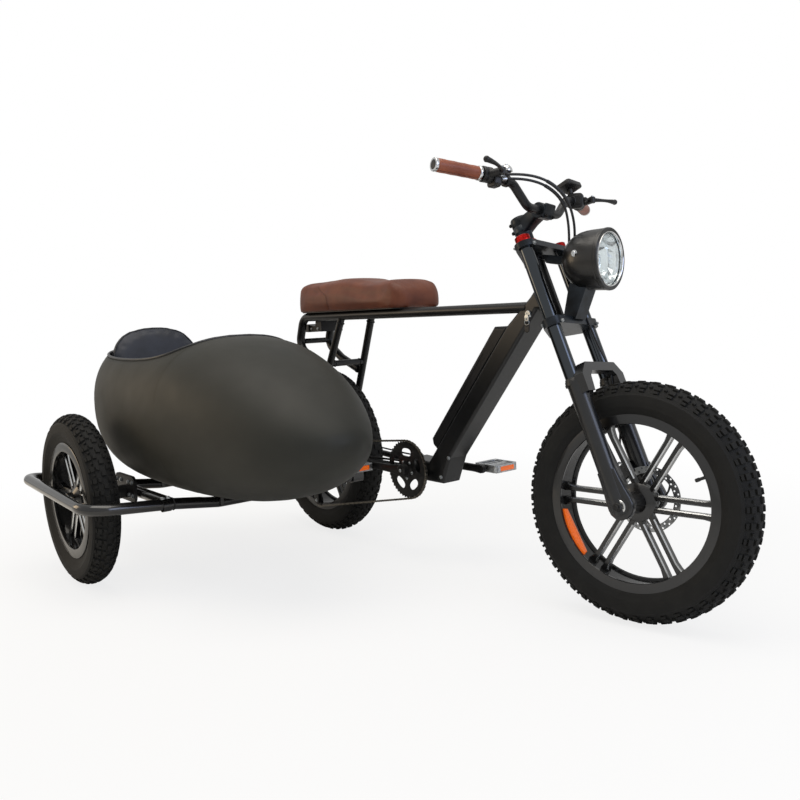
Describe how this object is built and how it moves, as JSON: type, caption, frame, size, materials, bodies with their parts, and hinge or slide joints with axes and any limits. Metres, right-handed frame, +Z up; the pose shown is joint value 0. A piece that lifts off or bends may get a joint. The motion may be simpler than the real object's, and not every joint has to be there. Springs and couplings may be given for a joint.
{
  "type": "electric bicycle with sidecar",
  "caption": "Electric bicycle with mag wheels, twin-crown fork, long seat and round headlight, with a boat-shaped passenger sidecar on its right side.",
  "frame": {"origin": "centre of the overall box at ground height, as the vehicle stands on its three wheels", "axes": "+X forward, +Y to the bicycle's left, +Z up; the sidecar is on the -Y side"},
  "size_m": [2.068, 1.3128, 1.0961],
  "materials": {
    "frame_paint": "satin black powder coat",
    "gloss_paint": "gloss black enamel",
    "tub_paint": "soft matt black-olive lacquer",
    "fork_paint": "satin black enamel",
    "rim_paint": "gloss black with bright machined spoke faces",
    "crown_alloy": "black anodised, polished",
    "red_alloy": "red anodised",
    "black_alloy": "black anodised",
    "stanchion_chrome": "hard chrome tube",
    "battery_plastic": "fine textured",
    "black_plastic": "fine textured",
    "key_steel": "nickel plated",
    "zinc_steel": "zinc plated",
    "chain_steel": "oiled",
    "crank_steel": "black with worn edges",
    "disc_steel": "ground",
    "pedal_alloy": "cast and tumbled",
    "seat_leather": "brown, fine grain",
    "tub_leather": "dark navy, fine grain",
    "grip_leather": "brown, stitched",
    "tyre_rubber": "matt",
    "cable_rubber": "smooth sleeve",
    "lamp_paint": "gloss black",
    "lamp_chrome": "vacuum metallised",
    "lamp_glass": "clear pressed glass",
    "orange_plastic": "prismatic reflector"
  },
  "bodies": {
    "frame": {"down_tube": "frame_paint", "battery_case": "battery_plastic", "battery_key": "key_steel", "seat_rails": "frame_paint", "struts": "frame_paint", "chainstays": "frame_paint", "rear_axle": "zinc_steel", "seat_base": "black_plastic", "seat_cushion": "seat_leather", "chain": "chain_steel", "wheel_guard": "gloss_paint", "front_cross_tube": "gloss_paint", "rear_cross_tube": "gloss_paint", "sidecar_axle": "frame_paint", "sidecar_tub": "tub_paint", "tub_seat": "tub_leather", "tub_backrest": "tub_leather"},
    "steering": {"fork_crowns": "crown_alloy", "headset_ring": "red_alloy", "fork_stanchions": "stanchion_chrome", "fork_lowers": "fork_paint", "handlebar": "frame_paint", "stem": "crown_alloy", "grips": "grip_leather", "controls_right": "black_plastic", "controls_left": "black_plastic", "bell": "black_alloy", "headlight_shell": "lamp_paint", "headlight_reflector": "lamp_chrome", "headlight_lens": "lamp_glass", "headlight_mount": "crown_alloy", "cables": "cable_rubber"},
    "front_wheel": {"front_rim": "rim_paint", "front_tyre": "tyre_rubber", "front_disc": "disc_steel", "wheel_reflector": "orange_plastic"},
    "rear_wheel": {"rear_rim": "rim_paint", "rear_sprocket": "chain_steel", "rear_tyre": "tyre_rubber", "rear_disc": "disc_steel"},
    "sidecar_wheel": {"sidecar_rim": "rim_paint", "sidecar_tyre": "tyre_rubber"},
    "crank": {"crankset": "crank_steel"},
    "pedal_right": {"pedal_right": "pedal_alloy"},
    "pedal_left": {"pedal_left": "pedal_alloy"}
  },
  "joints": [
    {"name": "steer", "type": "hinge", "parent": "frame", "child": "steering", "pos_m": [0.442, 0.29555, 0.89323], "axis": [-0.3987, 0, 0.9171], "range_deg": [-50, 28]},
    {"name": "front_wheel_spin", "type": "hinge", "parent": "steering", "child": "front_wheel", "pos_m": [0.75258, 0.30412, 0.28459], "axis": [-0.1828, 0.9799, -0.0795], "continuous": true},
    {"name": "rear_wheel_spin", "type": "hinge", "parent": "frame", "child": "rear_wheel", "pos_m": [-0.534, 0.29555, 0.28494], "axis": [0, 1, 0], "continuous": true},
    {"name": "sidecar_wheel_spin", "type": "hinge", "parent": "frame", "child": "sidecar_wheel", "pos_m": [-0.56, -0.56545, 0.24994], "axis": [0, 1, 0], "continuous": true},
    {"name": "crank_spin", "type": "hinge", "parent": "frame", "child": "crank", "pos_m": [-0.018, 0.29555, 0.28194], "axis": [0, 1, 0], "continuous": true},
    {"name": "pedal_right_spin", "type": "hinge", "parent": "crank", "child": "pedal_right", "pos_m": [-0.188, 0.15355, 0.28194], "axis": [0, 1, 0], "continuous": true},
    {"name": "pedal_left_spin", "type": "hinge", "parent": "crank", "child": "pedal_left", "pos_m": [0.152, 0.43755, 0.28194], "axis": [0, 1, 0], "continuous": true}
  ]
}
